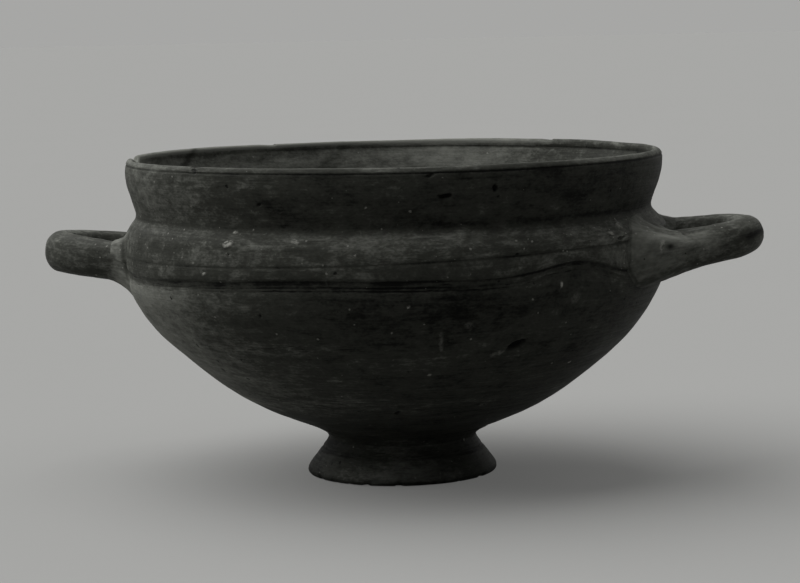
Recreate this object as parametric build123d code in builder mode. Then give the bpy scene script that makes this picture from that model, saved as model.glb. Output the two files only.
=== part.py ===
from build123d import *
import math
import os

# Two-handled cup on a flaring foot, thrown and joined from soft clay. Sizes are in millimetres.
# +Z is up, +X points to the right handle, and the origin is the middle of the foot's base.

# Foot
foot_height = 13.5  # base to the seat of the bowl
foot_diameter = 64.4  # widest, across the rolled edge
stem_diameter = 50.0  # narrowest, just under the bowl
edge_height = 8.6  # top of the edge, at the crease under the stem
edge_belly_height = 1.3  # where the edge is widest
edge_undercut = 1.1  # the contact ring's inset from the widest radius
edge_shoulder = 4.9  # the top of the edge's inset from the widest radius
edge_round = 2.0  # radius of the edge's bulge above its widest line
crease_depth = 0.35
crease_width = 0.5
contact_width = 6.3  # flat ring that touches the table
hollow_depth = 8.8  # underside, at the middle
hollow_wall_height = 3.4  # steep inner side of the contact ring
hollow_wall_lean = 1.9
flare_hollow_share = 0.66  # how far in the stem's middle lies, from crease to waist
flare_height_share = 0.47

# Joint of foot and bowl
seat_inset = 2.4  # the seat's inset from the stem's radius
lute_drop = 1.1  # the lute's height on the stem
lute_reach = 5.8  # the lute's width along the bowl's underside
underside_angle = 22.5  # slope of the bowl beside the seat, in degrees
lute_hollow_share = 0.15  # how far the lute's face is pressed in towards its inner corner

# Bowl, from the seat up
belly_height = 57.1  # seat to the widest line of the belly
tooled_height = 3.9  # grooved strip between the belly and the band
band_height = 10.3  # shoulder band, from its lower edge to the ledge
ledge_height = 4.0  # ledge from the band up to the neck
neck_height = 14.7  # neck corner to the widest line of the lip
lip_height = 3.4  # widest line of the lip to the bevel
bevel_height = 1.8
mouth_diameter = 180.2  # widest, across the lip
neck_inset = 3.5  # the neck corner's inset from the mouth's radius
shoulder_stand = 4.3  # how far the shoulder band stands out from the neck corner
band_step = 0.7  # overhang of the band over the belly
band_round = 0.25  # swelling of the band's lower half
band_lean = 1.2  # inward lean of the band's upper half
groove_depth = 0.45
groove_width = 0.8
lip_incurve = 0.2
bevel_inset = 0.8
belly_radius_shares = (0.30, 0.64, 0.84, 0.963)
belly_height_shares = (0.146, 0.397, 0.613, 0.829)
tooled_groove_shares = (0.2, 0.62)
band_groove_share = 0.43
neck_radius_shares = (-0.05, 0.40, 0.77)
neck_height_shares = (0.12, 0.42, 0.69)

# Walls of the bowl
floor_wall = 7.0
belly_wall = 4.6
neck_wall = 3.8
lip_wall = 2.8
lip_round = 0.9
inner_line_drop = 2.8  # tooled line inside the lip, below the crest
inner_line_depth = 0.3
inner_radius_shares = (0.292, 0.516, 0.758, 0.898, 0.979)
inner_depth_shares = (0.041, 0.173, 0.418, 0.637, 0.851)
inner_neck_shares = (0.12, 0.52)
inner_rise_shares = (0.3, 0.68)

# Handles: half an ellipse in plan, on a plane that rises outwards and is tilted a little
root_depth = 6.9  # the loop's ends start this far inside the shoulder
loop_spacing = 42.0  # between the middles of the two roots
loop_steps = 10

right_loop = {
    "side": 1,
    "reach": 26.8,  # shoulder to the middle of the tip
    "root_level": 1.0,  # middle of the roots above the band's lower edge
    "rise": 4.8,  # tip above the roots
    "tilt": 1.9,  # degrees, the front root lower than the back one
    "root_height": 14.4,
    "root_width": 14.2,
    "tip_height": 11.8,
    "tip_width": 11.6,
    "flare_above": 4.2,  # the lute's thickness at the shoulder, above the bar
    "flare_below": 1.1,
    "flare_beside": 5.2,
}
left_loop = {
    "side": -1,
    "reach": 25.8,
    "root_level": -1.5,
    "rise": 3.2,
    "tilt": -1.3,
    "root_height": 12.9,
    "root_width": 14.4,
    "tip_height": 12.5,
    "tip_width": 10.8,
    "flare_above": 4.8,
    "flare_below": 4.2,
    "flare_beside": 4.4,
}

# Lutes round the roots of the handles
collar_length = 6.4  # along the handle, from the shoulder
collar_edge = 0.5  # thickness at its outer end
collar_middle_share = 0.45
collar_hollow_share = 0.32
inner_flare_share = 1.8  # the flare goes on inside the wall, where the bowl cuts it away

# Worked out from the sizes above
foot_radius = foot_diameter / 2
stem_radius = stem_diameter / 2
seat_radius = stem_radius - seat_inset
lute_radius = seat_radius + lute_reach
lute_top = foot_height + lute_reach * math.tan(math.radians(underside_angle))
lute_foot = foot_height - lute_drop
mouth_radius = mouth_diameter / 2
neck_radius = mouth_radius - neck_inset
shoulder_radius = neck_radius + shoulder_stand
belly_radius = shoulder_radius - band_step
belly_level = foot_height + belly_height
band_level = belly_level + tooled_height
band_top = band_level + band_height
neck_level = band_top + ledge_height
lip_level = neck_level + neck_height
bevel_level = lip_level + lip_height
crest = bevel_level + bevel_height
floor_level = foot_height + floor_wall


def outline_points(start, end, radius_shares, height_shares):
    """Points between two corners of an outline, at shares of its width and height."""
    width = end[0] - start[0]
    height = end[1] - start[1]
    shares = zip(radius_shares, height_shares)
    return [(start[0] + r * width, start[1] + h * height) for r, h in shares]


def groove_points(radius, level):
    """A small V-shaped groove cut into a wall of this radius."""
    half = groove_width / 2
    return [(radius, level - half), (radius - groove_depth, level), (radius, level + half)]


# The bowl's outside, as a solid body: everything that joins the bowl is cut to it
with BuildPart() as body_form:
    with BuildSketch(Plane.XZ):
        with BuildLine():
            belly_start = (lute_radius, lute_top)
            belly_end = (belly_radius, belly_level)
            seat = Polyline((0, foot_height), (seat_radius, foot_height), belly_start)
            Spline(
                belly_start,
                *outline_points(belly_start, belly_end, belly_radius_shares, belly_height_shares),
                belly_end,
                tangents=(seat % 1, (0, 1)),
            )
            tooled_levels = [belly_level + share * tooled_height for share in tooled_groove_shares]
            tooled = [point for level in tooled_levels for point in groove_points(belly_radius, level)]
            groove_level = band_level + band_groove_share * band_height
            groove = groove_points(shoulder_radius, groove_level)
            Polyline(
                belly_end,
                *tooled,
                (belly_radius, band_level),
                (shoulder_radius - band_round, band_level),
            )
            ThreePointArc(
                (shoulder_radius - band_round, band_level),
                (shoulder_radius, (band_level + groove[0][1]) / 2),
                (shoulder_radius - band_round / 2, groove[0][1]),
            )
            Polyline((shoulder_radius - band_round / 2, groove[0][1]), groove[1], groove[2])
            ledge_start = (shoulder_radius - band_lean, band_top)
            TangentArc(groove[2], ledge_start, tangent=(0, 1))
            ledge_end = (neck_radius, neck_level)
            Line(ledge_start, ledge_end)
            lip_start = (mouth_radius, lip_level)
            Spline(
                ledge_end,
                *outline_points(ledge_end, lip_start, neck_radius_shares, neck_height_shares),
                lip_start,
            )
            lip_end = (mouth_radius - lip_incurve, bevel_level - groove_width)
            TangentArc(lip_start, lip_end, tangent=(0, 1))
            lip_groove = (lip_end[0] - groove_depth, bevel_level - groove_width / 2)
            Polyline(
                lip_end,
                lip_groove,
                (lip_end[0], bevel_level),
                (lip_end[0] - bevel_inset, crest),
                (0, crest),
                (0, foot_height),
            )
        make_face()
    revolve(axis=Axis.Z)

with BuildPart() as bowl:
    add(body_form.part)
    with BuildSketch(Plane.XZ):
        with BuildLine():
            floor_middle = (0, floor_level)
            inner_belly = (belly_radius - belly_wall, belly_level)
            Spline(
                floor_middle,
                *outline_points(floor_middle, inner_belly, inner_radius_shares, inner_depth_shares),
                inner_belly,
                tangents=((1, 0), (0, 1)),
            )
            inner_radius = mouth_radius - lip_wall
            line_level = crest - inner_line_drop
            inner_line_foot = (inner_radius, line_level - inner_line_depth)
            inner_neck = (neck_radius - neck_wall, neck_level)
            Spline(
                inner_belly,
                inner_neck,
                *outline_points(inner_neck, inner_line_foot, inner_neck_shares, inner_rise_shares),
                inner_line_foot,
            )
            Polyline(
                inner_line_foot,
                (inner_radius + inner_line_depth, line_level),
                (inner_radius, line_level + inner_line_depth),
                (inner_radius, crest),
                (0, crest),
                floor_middle,
            )
        make_face()
    revolve(axis=Axis.Z, mode=Mode.SUBTRACT)
    rim = bowl.edges().filter_by(GeomType.CIRCLE).filter_by_position(Axis.Z, crest, crest)
    fillet(rim.sort_by(SortBy.RADIUS)[0], radius=lip_round)
bowl.part.label = "bowl"

with BuildPart() as foot:
    with BuildSketch(Plane.XZ):
        with BuildLine():
            contact_outer = (foot_radius - edge_undercut, 0)
            contact_inner = (contact_outer[0] - contact_width, 0)
            widest = (foot_radius, edge_belly_height)
            edge_top = (foot_radius - edge_shoulder, edge_height)
            slope = math.atan2(edge_shoulder, edge_height - edge_belly_height)
            edge_turn = (
                foot_radius - edge_round * (1 - math.cos(slope)),
                edge_belly_height + edge_round * math.sin(slope),
            )
            crease_top = (edge_top[0], edge_top[1] + crease_width)
            waist = (stem_radius, lute_foot)
            flare_width = crease_top[0] - stem_radius
            flare_rise = waist[1] - crease_top[1]
            TangentArc(widest, contact_outer, tangent=(0, -1))
            TangentArc(widest, edge_turn, tangent=(0, 1))
            Polyline(
                edge_turn,
                edge_top,
                (edge_top[0] - crease_depth, edge_top[1] + crease_width / 2),
                crease_top,
            )
            ThreePointArc(
                crease_top,
                (
                    crease_top[0] - flare_hollow_share * flare_width,
                    crease_top[1] + flare_height_share * flare_rise,
                ),
                waist,
            )
            Polyline(waist, (seat_radius, foot_height), (0, foot_height), (0, hollow_depth))
            hollow_corner = (contact_inner[0] - hollow_wall_lean, hollow_wall_height)
            TangentArc((0, hollow_depth), hollow_corner, tangent=(1, 0))
            Polyline(hollow_corner, contact_inner, contact_outer)
        make_face()
    revolve(axis=Axis.Z)
foot.part.label = "foot"

with BuildPart() as foot_lute:
    with BuildSketch(Plane.XZ):
        with BuildLine():
            corner = (seat_radius, foot_height)
            lute_outer = (lute_radius, lute_top)
            chord_middle = ((waist[0] + lute_outer[0]) / 2, (waist[1] + lute_outer[1]) / 2)
            pressed = (
                chord_middle[0] + lute_hollow_share * (corner[0] - chord_middle[0]),
                chord_middle[1] + lute_hollow_share * (corner[1] - chord_middle[1]),
            )
            Polyline(waist, corner, lute_outer)
            ThreePointArc(lute_outer, pressed, waist)
        make_face()
    revolve(axis=Axis.Z)
foot_lute.part.label = "foot_lute"


def loop_spine(loop):
    """The middle line of a handle, from its front root to its back one."""
    lift = math.atan2(loop["rise"], root_depth + loop["reach"])
    outward = Vector(loop["side"] * math.cos(lift), 0, math.sin(lift))
    tilt = math.radians(loop["tilt"])
    across = Vector(0, math.cos(tilt), math.sin(tilt))
    upward = outward.cross(across) * loop["side"]
    start = Vector(
        loop["side"] * (shoulder_radius - root_depth),
        0,
        band_level + loop["root_level"],
    )
    base = Plane(origin=start, x_dir=outward, z_dir=upward)
    with BuildLine(base) as spine:
        EllipticalCenterArc(
            center=(0, 0),
            x_radius=root_depth + loop["reach"],
            y_radius=loop_spacing / 2,
            start_angle=-90,
            arc_size=180,
        )
    return spine.edges()[0], base


def section_sizes(loop, share):
    """Height and width of the bar, from its roots to its thinner tip."""
    towards_tip = math.sin(math.pi * share)
    height = loop["root_height"] + (loop["tip_height"] - loop["root_height"]) * towards_tip
    width = loop["root_width"] + (loop["tip_width"] - loop["root_width"]) * towards_tip
    return height, width


def bar_section(spine, base, share, height, width):
    """An oval square to the handle's middle line."""
    here = Plane(origin=spine @ share, x_dir=base.z_dir, z_dir=spine % share)
    with BuildSketch(here) as section:
        Ellipse(height / 2, width / 2)
    return section.sketch


def handle_bar(loop):
    """The whole loop, still running on into the bowl's wall."""
    spine, base = loop_spine(loop)
    shares = [step / loop_steps for step in range(loop_steps + 1)]
    with BuildPart() as bar:
        loft([bar_section(spine, base, share, *section_sizes(loop, share)) for share in shares])
    return bar.part


def root_collar(loop, bar, front):
    """Clay smoothed round one root: thick at the bowl's wall, thin on the bar."""
    spine, base = loop_spine(loop)
    wall = root_depth / spine.length
    end = (root_depth + collar_length) / spine.length
    middle = wall + collar_middle_share * (end - wall)
    stages = [(0, inner_flare_share), (wall, 1), (middle, collar_hollow_share), (end, 0)]
    sections = []
    for place, spread in stages:
        height, width = section_sizes(loop, place)
        above, below, beside = (
            collar_edge + spread * (loop[flare] - collar_edge)
            for flare in ("flare_above", "flare_below", "flare_beside")
        )
        share = place if front else 1 - place
        raised = base.z_dir * ((above - below) / 2)
        section = bar_section(spine, base, share, height + above + below, width + 2 * beside)
        sections.append(section.translate(raised))
    with BuildPart() as collar:
        loft(sections)
        add(bar, mode=Mode.SUBTRACT)
        add(body_form.part, mode=Mode.SUBTRACT)
    return collar.part


os.makedirs("parts", exist_ok=True)
export_step(bowl.part, "parts/bowl.step")
export_step(foot.part, "parts/foot.step")
export_step(foot_lute.part, "parts/foot_lute.step")

for name, loop in (("right_handle", right_loop), ("left_handle", left_loop)):
    bar = handle_bar(loop)
    with BuildPart() as handle:
        add(bar)
        add(body_form.part, mode=Mode.SUBTRACT)
    handle.part.label = name
    export_step(handle.part, f"parts/{name}.step")
    for place in ("front", "back"):
        with BuildPart() as lute:
            add(root_collar(loop, bar, place == "front"))
        lute.part.label = f"{name}_{place}_lute"
        export_step(lute.part, f"parts/{name}_{place}_lute.step")
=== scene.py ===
"""A dark burnished cup with two loop handles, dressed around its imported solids.

Sections are drawn in millimetres, as (radius, height) from the cup's axis and from the table.
Meshes are in metres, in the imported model's frame: +Z up and +X to the right handle.
Azimuths are degrees round the axis, from -Y towards +X.
"""

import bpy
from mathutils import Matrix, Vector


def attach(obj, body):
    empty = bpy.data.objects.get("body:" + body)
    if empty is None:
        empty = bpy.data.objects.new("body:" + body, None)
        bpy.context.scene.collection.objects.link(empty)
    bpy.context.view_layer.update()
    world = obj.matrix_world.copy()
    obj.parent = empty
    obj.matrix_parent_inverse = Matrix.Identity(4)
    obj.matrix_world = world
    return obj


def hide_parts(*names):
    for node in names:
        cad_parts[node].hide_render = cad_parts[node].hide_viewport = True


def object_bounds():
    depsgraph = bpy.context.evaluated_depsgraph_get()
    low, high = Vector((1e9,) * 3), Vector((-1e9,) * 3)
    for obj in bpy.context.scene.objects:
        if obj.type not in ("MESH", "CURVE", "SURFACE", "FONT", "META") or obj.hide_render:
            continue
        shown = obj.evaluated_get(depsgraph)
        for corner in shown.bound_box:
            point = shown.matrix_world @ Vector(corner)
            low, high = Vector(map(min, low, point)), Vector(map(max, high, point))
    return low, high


bl_info = {
    "name": "Burnished Two-Handled Cup",
    "version": (1, 0, 0),
    "blender": (4, 5, 0),
    "location": "View3D > Sidebar > Cup",
    "description": "Throws, joins and burnishes a two-handled clay cup on a pale table",
    "category": "Add Mesh",
}

import math

import bpy
import numpy as np
from mathutils import Matrix, Vector, noise
from mathutils.kdtree import KDTree

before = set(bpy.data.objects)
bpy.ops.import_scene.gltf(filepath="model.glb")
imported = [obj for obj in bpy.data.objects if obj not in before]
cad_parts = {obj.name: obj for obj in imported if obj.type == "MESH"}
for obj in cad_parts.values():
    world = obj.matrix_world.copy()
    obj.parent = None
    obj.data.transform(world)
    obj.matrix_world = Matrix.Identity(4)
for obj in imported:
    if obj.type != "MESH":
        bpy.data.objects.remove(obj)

MM = 0.001
BODY = "root"

# Sections. Each run starts where the one before it ended: (spacing, corners).
# Two corners make a straight run, more make a smooth one.
SEAT_LEVEL = 13.5
BOWL_OUTSIDE = (
    (7.0, ((0, SEAT_LEVEL), (22.6, SEAT_LEVEL))),
    (1.6, ((28.4, 15.9),)),
    (1.65, ((38.4, 20), (46.9, 23.8), (54.3, 28), (60.4, 32), (65.8, 36), (70.9, 40), (75.3, 44), (79.1, 48),
            (83.6, 54), (86.9, 59.4), (89.1, 64), (90.1, 68), (90.2, 70.6))),
    (0.27, ((90.2, 74.35),)),
    (0.2, ((90.6, 74.55),)),
    (0.4, ((90.85, 75.4), (90.95, 77.0), (90.9, 79.4), (90.6, 82.0), (90.0, 84.3), (89.3, 85.4),
           (88.1, 86.9), (87.0, 88.2), (86.55, 89.3), (86.5, 90.6))),
    (0.95, ((87.2, 92.9), (88.0, 95.0), (89.3, 99.0), (90.0, 102.6), (90.05, 104.0))),
    (0.33, ((90.0, 106.5),)),
    (0.3, ((89.95, 107.1), (89.4, 108.15), (88.9, 108.62))),
    (0.35, ((88.25, 108.68),)),
)
BOWL_INSIDE = (
    (0.3, ((87.75, 108.5), (87.4, 108.0), (87.3, 107.3))),
    (0.3, ((87.25, 105.4),)),
    (1.5, ((86.4, 103.0), (85.1, 100.2), (83.4, 94.5), (82.8, 88.8))),
    (2.2, ((82.9, 84.5), (84.1, 76.0), (85.4, 70.6), (85.2, 66.5))),
    (3.0, ((83.6, 62.6), (76.9, 52.4), (64.9, 41.4), (44.2, 29.2), (25.0, 22.6), (8.0, 20.6), (0, 20.5))),
)
FOOT_SECTION = (
    (3.0, ((0, 8.8), (12.0, 7.7), (20.0, 5.0), (22.9, 3.4))),
    (0.6, ((24.2, 0.8), (24.8, 0.15))),
    (1.2, ((25.6, 0), (30.4, 0))),
    (0.45, ((31.4, 0.2), (32.0, 0.65), (32.2, 1.4), (31.9, 2.4), (30.7, 4.1), (29.2, 6.1), (27.6, 8.2))),
    (0.2, ((27.0, 8.8), (27.15, 9.2))),
    (0.4, ((26.2, 10.1), (25.45, 11.2), (25.05, 12.3), (24.9, 13.1))),
    (2.0, ((22.6, SEAT_LEVEL),)),
    (7.0, ((0, SEAT_LEVEL),)),
)
LUTE_SECTION = (
    (0.35, ((24.75, 11.6), (24.95, 12.3), (25.3, 13.1), (26.0, 14.0), (27.2, 14.9), (28.9, 15.85), (30.2, 16.5))),
    (1.0, ((29.4, 16.6), (22.9, 13.7), (23.1, 13.2), (24.75, 11.6))),
)
CREST = 108.7
BAND_FOOT = 74.5
BAND_GROOVE = 78.9
LIP_GROOVE = 106.8
LIP_UNDERLINE = 104.75
INNER_LINE = 105.9
FOOT_CREASE = 8.9
# Lines tooled under the band: level, half width, share of the full depth
TOOLED_LINES = ((71.2, 0.28, 0.7), (72.2, 0.30, 1.0))
# Divisions: round the foot, round a bar, twice along it, and round a lute and round its section
FOOT_STEPS = 288
BAR_SIDES = 72
BAR_CUTS = (84, 1)
LUTE_STEPS = (160, 84)
CAD_BOX = [np.array(corner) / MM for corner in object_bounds()]

# The cup isn't quite straight: shift towards the right of the picture, at each height
LEAN = ((0, 0.7), (12, 0.75), (16, 1.4), (19, 1.7), (22.6, 1.3), (25, 0.95), (29, 0.57), (33, 0.34), (40, 0.15),
        (60, 0), (84, 0), (87, -0.6), (91, -0.65), (96, -0.45), (102, -0.3), (107, 0))
LEAN_TOWARDS = 9.0

# Level at which the band's lower edge really runs, round the cup: azimuth, height
BAND_FOOT_LINE = ((-65, 72.0), (-53, 71.7), (-39, 72.9), (-26, 73.4), (-17, 74.3), (-5, 74.6), (12, 74.2),
                  (27, 73.9), (35, 74.6), (40, 75.9), (44, 77.0), (48, 77.3), (52, 76.4), (57, 74.6),
                  (61, 72.4), (66, 72.0), (90, 73.2), (112, 73.4), (135, 75.2), (160, 74.4), (190, 74.9),
                  (215, 74.1), (240, 73.6), (262, 73.0), (280, 72.4))
# The band's groove is a tilted ring: its middle level, tilt and the azimuth where it passes that level
GROOVE_LEVEL = 79.3
GROOVE_TILT = 2.6
GROOVE_TILT_FROM = 9.0

# Pits, stains and stuck grains on the outside: azimuth, height, length, width, slant in degrees,
# depth (a lump where negative), darkness (lime where negative)
SPOTS = (
    (19.2, 99.5, 4.4, 1.5, 8, 0.75, 1.0),
    (29.1, 101.4, 1.7, 2.7, 0, 0.8, 1.0),
    (35.5, 51.8, 6.4, 2.9, 26, 0.9, 1.0),
    (15.9, 106.0, 3.0, 1.2, 22, 0.35, 0.7),
    (-18.5, 97.3, 1.5, 1.0, 30, 0.3, 0.8),
    (-19.3, 63.1, 0.9, 1.3, 0, 0.3, 0.8),
    (-41.7, 41.8, 1.8, 1.3, -35, 0.35, 0.7),
    (-0.4, 64.3, 0.7, 0.9, 0, 0.25, 0.7),
    (-34.8, 107.7, 3.0, 1.3, -38, 0.30, 0.8),
    (7.8, 28.4, 3.0, 1.6, 55, 0.45, 0.9),
    (7.0, 31.2, 2.4, 1.3, 10, -0.3, -0.14),
    (35.8, 30.2, 3.0, 1.8, 10, -0.4, -0.18),
    (-24.9, 88.4, 2.2, 1.5, 10, -0.25, -0.8),
    (-26.0, 85.2, 3.4, 2.2, 20, -0.25, -0.75),
    (-10.7, 86.2, 2.6, 1.8, -15, -0.2, -0.55),
    (-31.9, 76.8, 2.2, 0.9, 25, -0.15, -0.6),
    (16.3, 43.1, 1.3, 1.1, 0, -0.15, -0.8),
    (11.2, 66.3, 0.9, 0.9, 0, -0.15, -0.8),
    (43.5, 69.0, 0.8, 1.3, 0, -0.15, -0.8),
    (31.6, 49.6, 5.4, 2.2, 28, 0.0, -0.2),
    (18.1, 54.5, 1.2, 9.0, 6, 0.0, -0.16),
    (23.6, 59.4, 2.4, 2.6, 40, 0.0, -0.14),
    (47.5, 65.0, 3.6, 2.6, 10, 0.0, -0.12),
    (57.8, 84.2, 3.2, 2.2, -20, -0.4, -0.4),
    (62.5, 86.6, 2.6, 3.4, 15, -0.4, -0.4),
    (60.5, 80.9, 4.4, 1.8, 8, 0.4, 0.5),
    (33.0, 79.6, 1.6, 0.9, 0, 0.3, 0.8),
)

# Broad dents in the outside: azimuth, height, width, tallness, depth
DENTS = ((-79, 42.5, 34, 7.5, 1.15), (-52, 50, 12, 9, 0.3), (24, 60, 16, 8, 0.2), (72, 43, 16, 8, 0.3),
         (49, 72.6, 9, 2.6, 0.45))
# Patches of the outside made pale: those on the left, from -87 to -55 degrees, are painted light on the side the
# lamps light, and the one at 55 degrees is rubbed pale.
# Each has strength, azimuth, width, and the levels where it starts, is full, begins to fade and ends
LIT_AND_RUBBED_PATCHES = (
    (0.66, -64, 42, (22, 30, 71, 73.5)),
    (0.40, -87, 11, (44, 60, 73, 76)),
    (0.44, -62, 36, (89.5, 91, 110, 111)),
    (0.22, 55, 9, (74, 76, 82, 84)),
    (0.10, -55, 50, (60, 66, 69, 71)),
)
# Chips of the lip: azimuths of the steep end and of the shallow end, depth
LIP_CHIPS = ((-88.0, -77.5, 1.9), (-36.2, -33.0, 0.4), (148.0, 152.0, 0.4), (-141, -136, 0.35))

# Handles, as in the solids. root and tip are the bar's height and width there; at the tip, hang is clay that
# sagged under it and crown is clay left on top. A lute's spread along the wall and its length along the bar are
# given round the bar: 0 degrees is above it and 90 degrees is out of the loop.
ROOT_RADIUS = 84.0
LOOP_HALF_SPACING = 21.0
# A lute's section: share of its points on the open face, and how deep it lies under the bar's skin at its
# thin edge, in the bar and in the wall
FACE_SHARE = 0.8
EDGE_DEPTH = 0.08
IN_BAR = 1.18
IN_WALL = 1.5
PLAIN_LUTE = dict.fromkeys(("seam", "straight", "ring", "lumps", "pale", "pale_under"), 0.0)
HANDLES = {
    "right_handle": {
        "side": 1, "reach": 33.7, "level": 75.5, "rise": 4.8, "tilt": 1.9,
        "root": (14.4, 14.2), "tip": (11.8, 11.6), "hang": 0.55, "crown": 0.0, "tip_darkening": 1.7, "seed": 3.0,
        "front": {
            "spread": ((0, 7.6), (22, 8.6), (45, 10.6), (68, 14.2), (90, 13.0), (109, 10.8), (122, 7.8), (136, 5.2),
                       (152, 3.4), (180, 2.2), (220, 2.4), (250, 3.5), (300, 5.0)),
            "length": ((0, 9.0), (45, 11.0), (90, 17.0), (135, 20.0), (180, 20.0), (220, 8.0), (270, 5.0)),
            "seam": 0.30, "straight": 0.8, "lumps": 0.5, "pale": 0.33,
        },
        "back": {
            "spread": ((0, 2.6), (45, 4.0), (90, 7.0), (135, 4.0), (180, 2.0), (270, 4.0)),
            "length": ((0, 7.5), (90, 9.0), (180, 7.0), (270, 5.5)),
            "lumps": 0.15,
        },
    },
    "left_handle": {
        "side": -1, "reach": 32.7, "level": 73.0, "rise": 3.2, "tilt": -1.3,
        "root": (12.9, 14.4), "tip": (12.5, 10.8), "hang": 0.7, "crown": 0.9, "tip_darkening": 0.3, "seed": 8.0,
        "front": {
            "spread": ((0, 4.8), (40, 4.2), (80, 4.6), (112, 7.6), (135, 8.0), (160, 6.2), (180, 5.6), (270, 4.0),
                       (320, 5.0)),
            "length": ((0, 5.2), (60, 5.6), (100, 6.6), (135, 8.4), (180, 8.8), (270, 5.0)),
            "ring": 0.5, "lumps": 0.25, "pale": 0.06, "pale_under": 0.45,
        },
        "back": {
            "spread": ((0, 7.4), (45, 5.8), (90, 6.0), (135, 5.5), (180, 4.6), (270, 4.6), (320, 6.4)),
            "length": ((0, 6.5), (90, 7.0), (180, 7.5), (270, 5.5)),
            "ring": 0.2, "lumps": 0.1,
        },
    },
}


# Settings

# Lamps: name, azimuth, elevation and breadth in degrees, setting that holds the strength
LAMPS = (
    ("key_light", -101, 56, 84, "key_strength"),
    ("sky_light", -140, 84, 96, "sky_strength"),
    ("fill_light", 128, 30, 90, "fill_strength"),
)
# Glow of the table, which only the eye sees, as a share of the backdrop's colour
TABLE_GLOW = 0.24
# Camera before its turn round the cup: place in metres, degrees downwards and sideways, lens in millimetres
CAMERA_PLACE = (0.0011, -0.809, 0.1502)
CAMERA_PITCH = 6.28
CAMERA_ROLL = -1.24
CAMERA_LENS = 108
SENSOR_WIDTH = 36


def size_setting(name, description, millimetres):
    """A setting in metres."""
    return bpy.props.FloatProperty(name=name, description=description, default=millimetres * MM, unit="LENGTH")


def color_setting(name, description, default):
    """A colour setting."""
    return bpy.props.FloatVectorProperty(
        name=name, description=description, subtype="COLOR", size=3, default=default, min=0, max=1
    )


class CupShape(bpy.types.PropertyGroup):
    """How evenly the cup was thrown and how fine its meshes are."""

    spin_steps: bpy.props.IntProperty(
        name="Spin Steps", description="Divisions round the bowl", default=330, min=64, max=460
    )
    groove_depth: size_setting("Groove Depth", "Depth of the tooled lines", 0.26)
    wobble: size_setting("Wobble", "How far the walls stray from round", 0.28)
    throwing_rings: size_setting("Throwing Rings", "Depth of the marks of fingers and tools", 0.10)
    lip_wobble: size_setting("Lip Wobble", "How far the lip dips", 0.50)
    handle_wobble: size_setting("Handle Wobble", "Unevenness of the rolled bars", 0.30)


class CupFinish(bpy.types.PropertyGroup):
    """Colours of the fired slip."""

    slip_color: color_setting("Slip", "Burnished slip at its usual tone", (0.0363, 0.0376, 0.0321))
    # The pale end also carries painted light, and the darkest end painted shade.
    worn_and_lit_color: color_setting("Worn Slip", "Slip rubbed thin at edges", (0.166, 0.170, 0.152))
    soot_and_shade_color: color_setting("Soot", "Darkest marks", (0.0057, 0.0059, 0.0053))
    lime_color: color_setting("Lime", "Stuck lime grains", (0.44, 0.44, 0.40))


class CupStage(bpy.types.PropertyGroup):
    """Table, lamps and camera."""

    table_color: color_setting("Table", "Pale table top", (0.226, 0.226, 0.220))
    backdrop_color: color_setting("Backdrop", "Pale room behind", (0.386, 0.386, 0.378))
    view_turn: bpy.props.FloatProperty(
        name="View Turn", description="Camera's azimuth round the cup", default=math.radians(9.0), subtype="ANGLE"
    )
    key_strength: bpy.props.FloatProperty(name="Key", description="Soft daylight from the left", default=3.9)
    sky_strength: bpy.props.FloatProperty(name="Sky", description="Broad light from above", default=0.6)
    fill_strength: bpy.props.FloatProperty(name="Fill", description="Weak light from the back right", default=0.4)
    room_strength: bpy.props.FloatProperty(name="Room", description="Weak light from all round", default=0.03)


# Sections and meshes


def section(runs):
    """Points along the runs of a section."""
    points = [runs[0][1][0]]
    for spacing, corners in runs:
        stops = [points[-1]] + [corner for corner in corners if corner != points[-1]]
        if len(stops) == 2:
            knots = [stops[0], *stops, stops[1]]
        else:
            knots = [mirrored(stops[1], stops[0]), *stops, mirrored(stops[-2], stops[-1])]
        for a, b, c, d in zip(knots, knots[1:], knots[2:], knots[3:]):
            count = max(1, round(math.dist(b, c) / spacing))
            for step in range(1, count + 1):
                share = step / count
                points.append(
                    tuple(Vector(b).lerp(c, share)) if len(stops) == 2 else smooth_point(a, b, c, d, share)
                )
    return points


def mirrored(point, about):
    """A point's mirror image, which carries a smooth run on past its end."""
    return (2 * about[0] - point[0], 2 * about[1] - point[1])


def smooth_point(a, b, c, d, share):
    """A point between b and c on a smooth line through a, b, c and d."""
    return tuple(
        0.5 * (2 * q + (r - p) * share + (2 * p - 5 * q + 4 * r - s) * share**2 + (3 * q - p - 3 * r + s) * share**3)
        for p, q, r, s in zip(a, b, c, d)
    )


def softened(points, passes):
    """The points with their corners rubbed down."""
    points = np.array(points, float)
    for _ in range(passes):
        points[1:-1] = 0.25 * points[:-2] + 0.5 * points[1:-1] + 0.25 * points[2:]
    return points


def start_piece(name):
    """Names the primitive that was just added."""
    piece = bpy.context.object
    piece.name = piece.data.name = name
    return piece


def select_only(piece, kind, chosen):
    """Edit mode with only the chosen vertices, edges or faces selected."""
    bpy.ops.object.mode_set(mode="EDIT")
    bpy.ops.mesh.select_mode(type={"vertices": "VERT", "edges": "EDGE", "polygons": "FACE"}[kind])
    bpy.ops.mesh.select_all(action="DESELECT")
    bpy.ops.object.mode_set(mode="OBJECT")
    getattr(piece.data, kind).foreach_set("select", chosen)
    bpy.ops.object.mode_set(mode="EDIT")


def close_surface():
    """Merges doubles and points every face outwards. Edit mode is left."""
    bpy.ops.mesh.select_all(action="SELECT")
    bpy.ops.mesh.remove_doubles(threshold=1e-6)
    bpy.ops.mesh.normals_make_consistent(inside=False)
    bpy.ops.object.mode_set(mode="OBJECT")


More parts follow.
